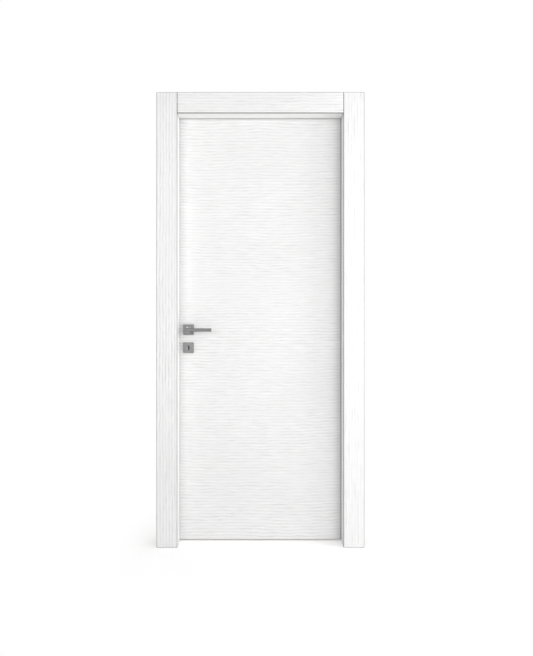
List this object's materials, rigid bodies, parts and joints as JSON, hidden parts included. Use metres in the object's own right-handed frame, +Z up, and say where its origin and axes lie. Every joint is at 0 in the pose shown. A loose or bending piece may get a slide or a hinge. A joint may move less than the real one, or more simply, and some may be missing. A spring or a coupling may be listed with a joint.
{
  "type": "interior door with frame and casings",
  "caption": "Flush single-leaf interior door hung on lift-off hinges in a rebated frame, with flat casings on both wall faces and a lever handle with a keyhole below it.",
  "frame": {"origin": "on the wall side of the hinge jamb, at floor level, half way through the wall", "axes": "+X away from the opening on the hinge side, +Y towards the side that the leaf opens to, +Z up"},
  "size_m": [1.005, 0.1682, 2.2],
  "materials": {
    "white_laminate": "white laminate with an embossed wood grain",
    "white_frame": "smooth white laminate",
    "raw_wood": "planed softwood with white edge banding",
    "satin_metal": "satin nickel-coloured lever, roses and key roses",
    "steel": "satin steel hinges, lock, bolts and strike",
    "seal": "pale grey rubber"
  },
  "bodies": {
    "frame": {"hinge_jamb": "white_frame", "latch_jamb": "white_frame", "head_jamb": "white_frame", "hinge_seal": "seal", "latch_seal": "seal", "head_seal": "seal", "front_casing_left": "white_laminate", "front_casing_right": "white_laminate", "front_casing_head": "white_laminate", "back_casing_left": "white_laminate", "back_casing_right": "white_laminate", "back_casing_head": "white_laminate", "strike_plate": "steel", "bottom_hinge_frame_half": "steel", "middle_hinge_frame_half": "steel", "top_hinge_frame_half": "steel", "bottom_hinge_pin": "steel", "middle_hinge_pin": "steel", "top_hinge_pin": "steel"},
    "leaf": {"front_skin": "white_laminate", "back_skin": "white_laminate", "hinge_stile": "raw_wood", "latch_stile": "raw_wood", "top_rail": "raw_wood", "bottom_rail": "raw_wood", "lock_case": "steel", "lock_faceplate": "steel", "latch_bolt": "steel", "dead_bolt": "steel", "front_rose": "satin_metal", "back_rose": "satin_metal", "front_key_rose": "satin_metal", "back_key_rose": "satin_metal", "bottom_hinge_leaf_half": "steel", "middle_hinge_leaf_half": "steel", "top_hinge_leaf_half": "steel"},
    "lever": {"front_lever": "satin_metal", "back_lever": "satin_metal", "spindle": "steel"}
  },
  "joints": [
    {"name": "leaf_swing", "type": "hinge", "parent": "frame", "child": "leaf", "pos_m": [-0.0325, 0.061, 1.055], "axis": [0, 0, -1], "range_deg": [0, 170]},
    {"name": "lever_turn", "type": "hinge", "parent": "leaf", "child": "lever", "pos_m": [-0.8, 0.0305, 1.05], "axis": [0, 1, 0], "range_deg": [0, 40], "stiffness_Nm_per_rad": 1.5, "springref_deg": -20.05}
  ]
}
